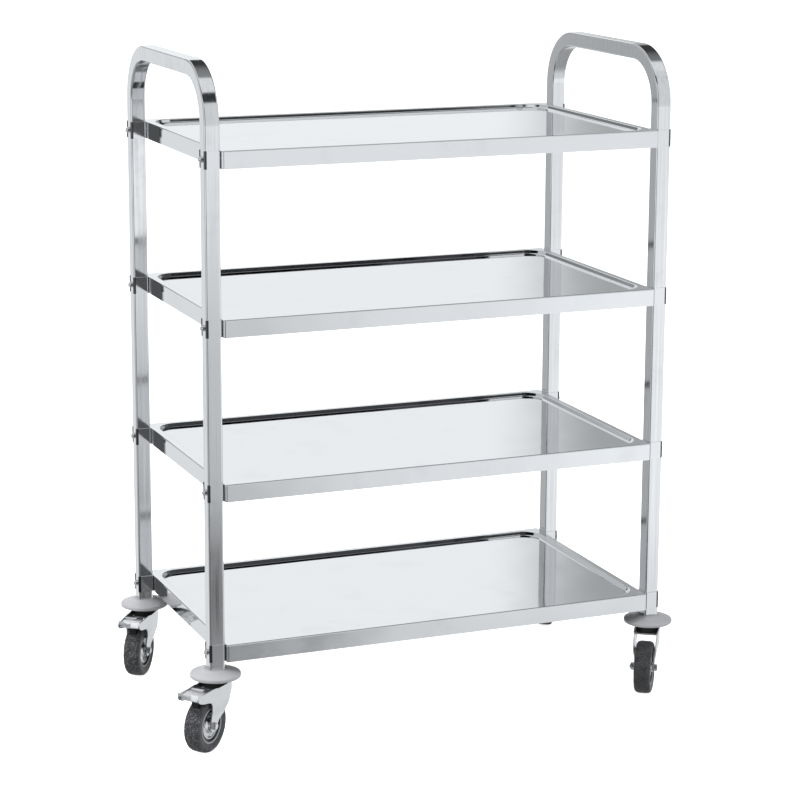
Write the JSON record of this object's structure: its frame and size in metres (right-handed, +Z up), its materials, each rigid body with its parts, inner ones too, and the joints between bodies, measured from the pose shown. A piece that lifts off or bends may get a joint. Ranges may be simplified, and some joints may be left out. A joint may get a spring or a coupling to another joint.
{
  "type": "service trolley",
  "caption": "Polished steel service trolley: flat sunk trays bolted between two square-tube end frames with push handles, on swivel castors with corner bumpers and brake pedals.",
  "frame": {"origin": "on the floor, under the middle of the box round the whole trolley with its castors as they stand", "axes": "+X along the trolley's length towards the end without brakes, +Y across it to the rear, +Z up"},
  "size_m": [1.0044, 0.572, 1.2295],
  "materials": {
    "frame_steel": "bright polished stainless steel tube",
    "shelf_steel": "mirror-polished stainless steel sheet",
    "clip_steel": "polished stainless steel sheet",
    "bolt_steel": "polished domed bolt",
    "nut_steel": "zinc-plated",
    "plug_plastic": "black moulded plastic",
    "bumper_plastic": "satin grey moulded plastic",
    "castor_steel": "bright plated steel",
    "seal_rubber": "black rubber dust ring",
    "ball_steel": "polished bearing steel",
    "fork_chrome": "bright plated pressed steel",
    "axle_steel": "bright plated steel",
    "rim_steel": "bright pressed steel",
    "tyre_rubber": "dark grey rubber with a fine block tread",
    "pedal_chrome": "bright plated pressed steel",
    "spring_steel": "dull spring steel"
  },
  "bodies": {
    "trolley": {"bumper_front_left": "bumper_plastic", "bumper_front_right": "bumper_plastic", "bumper_rear_left": "bumper_plastic", "bumper_rear_right": "bumper_plastic", "castor_front_left_balls": "ball_steel", "castor_front_left_seal": "seal_rubber", "castor_front_left_top": "castor_steel", "castor_front_right_balls": "ball_steel", "castor_front_right_seal": "seal_rubber", "castor_front_right_top": "castor_steel", "castor_rear_left_balls": "ball_steel", "castor_rear_left_seal": "seal_rubber", "castor_rear_left_top": "castor_steel", "castor_rear_right_balls": "ball_steel", "castor_rear_right_seal": "seal_rubber", "castor_rear_right_top": "castor_steel", "frame_left": "frame_steel", "frame_right": "frame_steel", "leg_plugs": "plug_plastic", "shelf_1": "shelf_steel", "shelf_1_post_clips": "clip_steel", "shelf_2": "shelf_steel", "shelf_2_post_clips": "clip_steel", "shelf_3": "shelf_steel", "shelf_3_post_clips": "clip_steel", "shelf_4": "shelf_steel", "shelf_4_post_clips": "clip_steel", "shelf_bolts": "bolt_steel", "shelf_nuts": "nut_steel"},
    "fork_front_left": {"castor_front_left_axle_bolt": "axle_steel", "castor_front_left_axle_nut": "axle_steel", "castor_front_left_axle_sleeve": "castor_steel", "castor_front_left_fork": "fork_chrome", "castor_front_left_pedal_pin": "axle_steel", "castor_front_left_pedal_spring": "spring_steel"},
    "wheel_front_left": {"castor_front_left_tyre": "tyre_rubber", "castor_front_left_wheel_rim": "rim_steel"},
    "pedal_front_left": {"castor_front_left_brake_pedal": "pedal_chrome"},
    "fork_front_right": {"castor_front_right_axle_bolt": "axle_steel", "castor_front_right_axle_nut": "axle_steel", "castor_front_right_axle_sleeve": "castor_steel", "castor_front_right_fork": "fork_chrome"},
    "wheel_front_right": {"castor_front_right_tyre": "tyre_rubber", "castor_front_right_wheel_rim": "rim_steel"},
    "fork_rear_left": {"castor_rear_left_axle_bolt": "axle_steel", "castor_rear_left_axle_nut": "axle_steel", "castor_rear_left_axle_sleeve": "castor_steel", "castor_rear_left_fork": "fork_chrome", "castor_rear_left_pedal_pin": "axle_steel", "castor_rear_left_pedal_spring": "spring_steel"},
    "wheel_rear_left": {"castor_rear_left_tyre": "tyre_rubber", "castor_rear_left_wheel_rim": "rim_steel"},
    "pedal_rear_left": {"castor_rear_left_brake_pedal": "pedal_chrome"},
    "fork_rear_right": {"castor_rear_right_axle_bolt": "axle_steel", "castor_rear_right_axle_nut": "axle_steel", "castor_rear_right_axle_sleeve": "castor_steel", "castor_rear_right_fork": "fork_chrome"},
    "wheel_rear_right": {"castor_rear_right_tyre": "tyre_rubber", "castor_rear_right_wheel_rim": "rim_steel"}
  },
  "joints": [
    {"name": "swivel_front_left", "type": "hinge", "parent": "trolley", "child": "fork_front_left", "pos_m": [-0.415, -0.208, 0.1166], "axis": [0, 0, 1], "continuous": true},
    {"name": "wheel_spin_front_left", "type": "hinge", "parent": "fork_front_left", "child": "wheel_front_left", "pos_m": [-0.44319, -0.23165, 0.05], "axis": [0.6428, -0.766, 0], "continuous": true},
    {"name": "pedal_front_left", "type": "hinge", "parent": "fork_front_left", "child": "pedal_front_left", "pos_m": [-0.46862, -0.253, 0.109], "axis": [0.6428, -0.766, 0], "range_deg": [0, 15]},
    {"name": "swivel_front_right", "type": "hinge", "parent": "trolley", "child": "fork_front_right", "pos_m": [0.457, -0.208, 0.1166], "axis": [0, 0, 1], "continuous": true},
    {"name": "wheel_spin_front_right", "type": "hinge", "parent": "fork_front_right", "child": "wheel_front_right", "pos_m": [0.43642, -0.23851, 0.05], "axis": [0.829, -0.5592, 0], "continuous": true},
    {"name": "swivel_rear_left", "type": "hinge", "parent": "trolley", "child": "fork_rear_left", "pos_m": [-0.415, 0.24, 0.1166], "axis": [0, 0, 1], "continuous": true},
    {"name": "wheel_spin_rear_left", "type": "hinge", "parent": "fork_rear_left", "child": "wheel_rear_left", "pos_m": [-0.43663, 0.21023, 0.05], "axis": [0.809, -0.5878, 0], "continuous": true},
    {"name": "pedal_rear_left", "type": "hinge", "parent": "fork_rear_left", "child": "pedal_rear_left", "pos_m": [-0.45615, 0.18337, 0.109], "axis": [0.809, -0.5878, 0], "range_deg": [0, 15]},
    {"name": "swivel_rear_right", "type": "hinge", "parent": "trolley", "child": "fork_rear_right", "pos_m": [0.457, 0.24, 0.1166], "axis": [0, 0, 1], "continuous": true},
    {"name": "wheel_spin_rear_right", "type": "hinge", "parent": "fork_rear_right", "child": "wheel_rear_right", "pos_m": [0.4386, 0.20813, 0.05], "axis": [0.866, -0.5, 0], "continuous": true}
  ]
}
